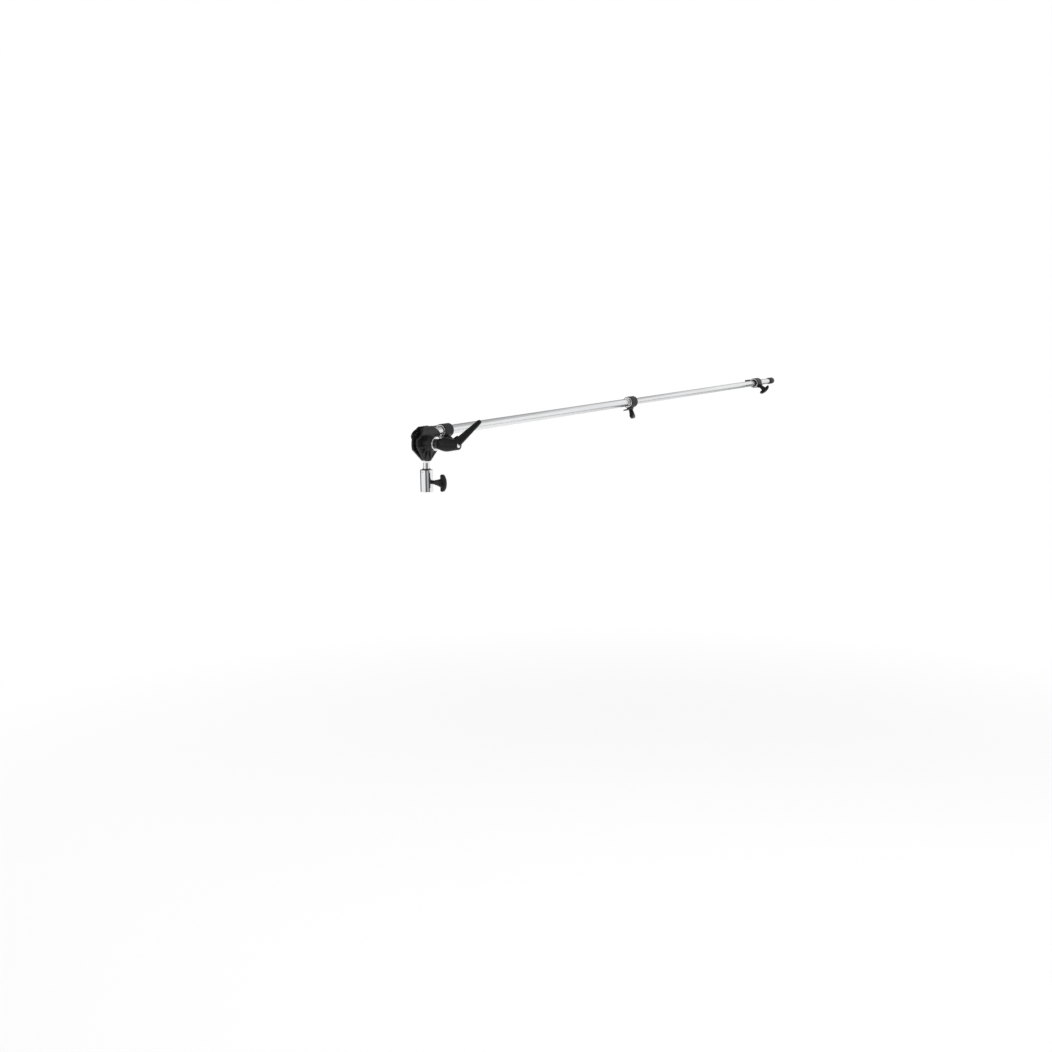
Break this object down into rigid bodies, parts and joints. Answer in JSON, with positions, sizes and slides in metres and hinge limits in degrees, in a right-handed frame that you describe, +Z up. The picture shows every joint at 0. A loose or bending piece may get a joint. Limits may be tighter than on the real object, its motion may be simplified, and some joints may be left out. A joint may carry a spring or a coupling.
{
  "type": "reflector holder arm",
  "caption": "Telescopic arm in a tilting lever-clamped head on a stand socket, with sliding rim clips that hold a round reflector.",
  "frame": {"origin": "centre of the stand socket's open bottom face", "axes": "+Z up along the socket, +X along the arm away from the stand, -Y towards the lever"},
  "size_m": [1.7002, 0.1344, 0.1456],
  "materials": {
    "black_plastic": "moulded glass-filled nylon, fine grain",
    "black_casting": "black enamel on an aluminium casting, satin",
    "chrome": "bright plating",
    "tube_metal": "bright drawn tube, polished along its length",
    "steel": "zinc-plated turned steel",
    "dark_steel": "blackened turned steel",
    "nylon": "plain black nylon",
    "rubber": "matte rubber"
  },
  "bodies": {
    "socket": {"receiver_socket": "chrome", "socket_ring": "nylon", "stem": "chrome", "stem_pin": "steel"},
    "socket_screw": {"socket_screw": "dark_steel"},
    "socket_knob": {"socket_knob": "black_plastic"},
    "head": {"rear_jaw": "black_casting", "head_axle": "steel", "front_friction_washer": "nylon", "rear_friction_washer": "nylon", "jaw_spring": "steel"},
    "clamp_jaw": {"front_jaw": "black_casting", "thrust_washer": "chrome"},
    "lever_nut": {"lever_insert": "dark_steel", "lever_screw": "chrome", "lever_spring": "steel"},
    "lever_handle": {"lever_handle": "black_plastic"},
    "arm_plug": {"arm_end_plug": "black_plastic"},
    "outer_tube": {"outer_tube": "tube_metal", "lock_collar": "black_plastic", "lock_ring": "chrome", "lock_shoe": "nylon", "lock_tab": "black_casting"},
    "lock_screw": {"lock_screw": "steel"},
    "lock_knob": {"lock_knob": "black_plastic"},
    "near_clip_ring": {"near_clip_ring": "chrome"},
    "near_clip": {"near_clip_body": "black_plastic", "near_clip_bush": "nylon", "near_clip_pad": "rubber"},
    "near_clip_screw": {"near_clip_screw": "steel"},
    "near_clip_knob": {"near_clip_knob": "black_plastic"},
    "inner_bush": {"inner_guide_bush": "nylon"},
    "inner_tube": {"inner_tube": "tube_metal", "arm_end_cap": "black_plastic"},
    "far_clip_ring": {"far_clip_ring": "chrome"},
    "far_clip": {"far_clip_body": "black_plastic", "far_clip_bush": "nylon", "far_clip_pad": "rubber"},
    "far_clip_screw": {"far_clip_screw": "steel"},
    "far_clip_knob": {"far_clip_knob": "black_plastic"}
  },
  "joints": [
    {"name": "socket_travel", "type": "slide", "parent": "socket", "child": "socket_screw", "axis": [0, -1, 0], "range_m": [0, 0.0025]},
    {"name": "socket_turn", "type": "hinge", "parent": "socket_screw", "child": "socket_knob", "pos_m": [0, 0, 0.0205], "axis": [0, -1, 0], "range_deg": [0, 720]},
    {"name": "head_tilt", "type": "hinge", "parent": "socket", "child": "head", "pos_m": [0, 0, 0.098], "axis": [0, -1, 0], "range_deg": [-45, 90]},
    {"name": "jaw_open", "type": "slide", "parent": "head", "child": "clamp_jaw", "axis": [0, -1, 0], "range_m": [0, 0.0015]},
    {"name": "lever_turn", "type": "hinge", "parent": "clamp_jaw", "child": "lever_nut", "pos_m": [0, 0, 0.098], "axis": [0, -1, 0], "range_deg": [0, 360]},
    {"name": "lever_lift", "type": "slide", "parent": "lever_nut", "child": "lever_handle", "axis": [0, -1, 0], "range_m": [0, 0.0045], "stiffness_N_per_m": 900, "springref_m": -0.003, "deforming": ["lever_spring"]},
    {"name": "arm_slide", "type": "slide", "parent": "head", "child": "arm_plug", "axis": [1, 0, 0], "range_m": [-0.006, 0.015]},
    {"name": "arm_roll", "type": "hinge", "parent": "arm_plug", "child": "outer_tube", "pos_m": [0, 0, 0.1175], "axis": [1, 0, 0], "range_deg": [-180, 180]},
    {"name": "lock_travel", "type": "slide", "parent": "outer_tube", "child": "lock_screw", "axis": [0, -0.2924, -0.9563], "range_m": [0, 0.002]},
    {"name": "lock_turn", "type": "hinge", "parent": "lock_screw", "child": "lock_knob", "pos_m": [0.806, 0, 0.1175], "axis": [0, -0.2924, -0.9563], "range_deg": [0, 720]},
    {"name": "near_clip_slide", "type": "slide", "parent": "outer_tube", "child": "near_clip_ring", "axis": [1, 0, 0], "range_m": [0, 0.69]},
    {"name": "near_clip_swing", "type": "hinge", "parent": "near_clip_ring", "child": "near_clip", "pos_m": [0, 0, 0.1175], "axis": [1, 0, 0], "range_deg": [-180, 180]},
    {"name": "near_clip_travel", "type": "slide", "parent": "near_clip", "child": "near_clip_screw", "axis": [0, -0.7547, -0.6561], "range_m": [0, 0.002]},
    {"name": "near_clip_turn", "type": "hinge", "parent": "near_clip_screw", "child": "near_clip_knob", "pos_m": [0.054, 0, 0.1175], "axis": [0, -0.7547, -0.6561], "range_deg": [0, 720]},
    {"name": "telescope", "type": "slide", "parent": "outer_tube", "child": "inner_bush", "axis": [1, 0, 0], "range_m": [-0.6, 0.02]},
    {"name": "inner_roll", "type": "hinge", "parent": "inner_bush", "child": "inner_tube", "pos_m": [0, 0, 0.1175], "axis": [1, 0, 0], "range_deg": [-180, 180]},
    {"name": "far_clip_slide", "type": "slide", "parent": "inner_tube", "child": "far_clip_ring", "axis": [1, 0, 0], "range_m": [-0.1, 0.065]},
    {"name": "far_clip_swing", "type": "hinge", "parent": "far_clip_ring", "child": "far_clip", "pos_m": [0, 0, 0.1175], "axis": [1, 0, 0], "range_deg": [-180, 180]},
    {"name": "far_clip_travel", "type": "slide", "parent": "far_clip", "child": "far_clip_screw", "axis": [0, -0.7986, -0.6018], "range_m": [0, 0.002]},
    {"name": "far_clip_turn", "type": "hinge", "parent": "far_clip_screw", "child": "far_clip_knob", "pos_m": [1.557, 0, 0.1175], "axis": [0, -0.7986, -0.6018], "range_deg": [0, 720]}
  ],
  "couplings": [
    {"joint": "socket_turn", "follows": "socket_travel", "rad_per_m": 5026.5},
    {"joint": "lever_turn", "follows": "jaw_open", "rad_per_m": 4188.8},
    {"joint": "lock_turn", "follows": "lock_travel", "rad_per_m": 6283.2},
    {"joint": "near_clip_turn", "follows": "near_clip_travel", "rad_per_m": 6283.2},
    {"joint": "far_clip_turn", "follows": "far_clip_travel", "rad_per_m": 6283.2}
  ]
}
